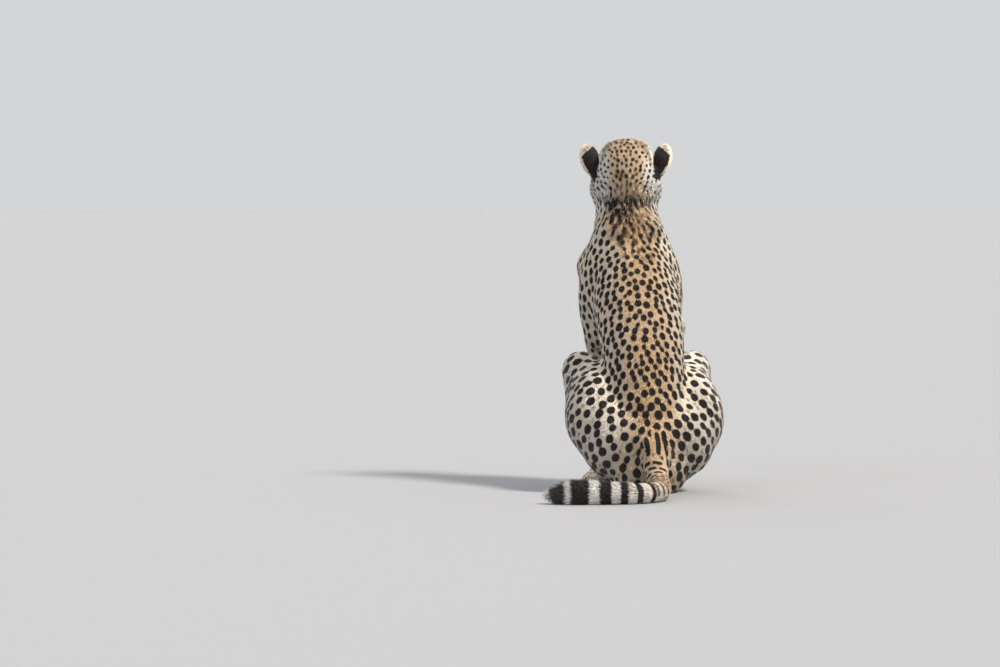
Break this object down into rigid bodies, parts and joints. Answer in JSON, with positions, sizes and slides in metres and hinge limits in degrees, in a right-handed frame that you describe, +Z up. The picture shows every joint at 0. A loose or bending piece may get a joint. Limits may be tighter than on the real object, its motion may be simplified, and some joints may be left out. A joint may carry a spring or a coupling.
{
  "type": "seated cheetah",
  "caption": "Life-size still model of a spotted big cat sitting upright, forelegs straight, head facing ahead, tail laid on the ground and curled to its left.",
  "frame": {"origin": "middle of the footprint's bounding box, on the ground", "axes": "+Z up; the animal faces -Y and its left side is +X"},
  "size_m": [0.5322, 0.8636, 0.884],
  "materials": {
    "coat": "short golden fur with black spots",
    "dark_coat": "short black fur on the backs of the ears",
    "nose_leather": "moist black nose leather",
    "cornea": "wet amber eye"
  },
  "bodies": {
    "root": {"head": "coat", "nose": "nose_leather", "ear_left": "dark_coat", "ear_right": "dark_coat", "eye_left": "cornea", "eye_right": "cornea", "neck": "coat", "torso": "coat", "upper_foreleg_left": "coat", "upper_foreleg_right": "coat", "lower_foreleg_left": "coat", "lower_foreleg_right": "coat", "forefoot_left": "coat", "forefoot_right": "coat", "thigh_left": "coat", "thigh_right": "coat", "shank_left": "coat", "shank_right": "coat", "hindfoot_left": "coat", "hindfoot_right": "coat", "tail_root": "coat", "tail_middle": "coat", "tail_end": "coat"}
  },
  "joints": []
}
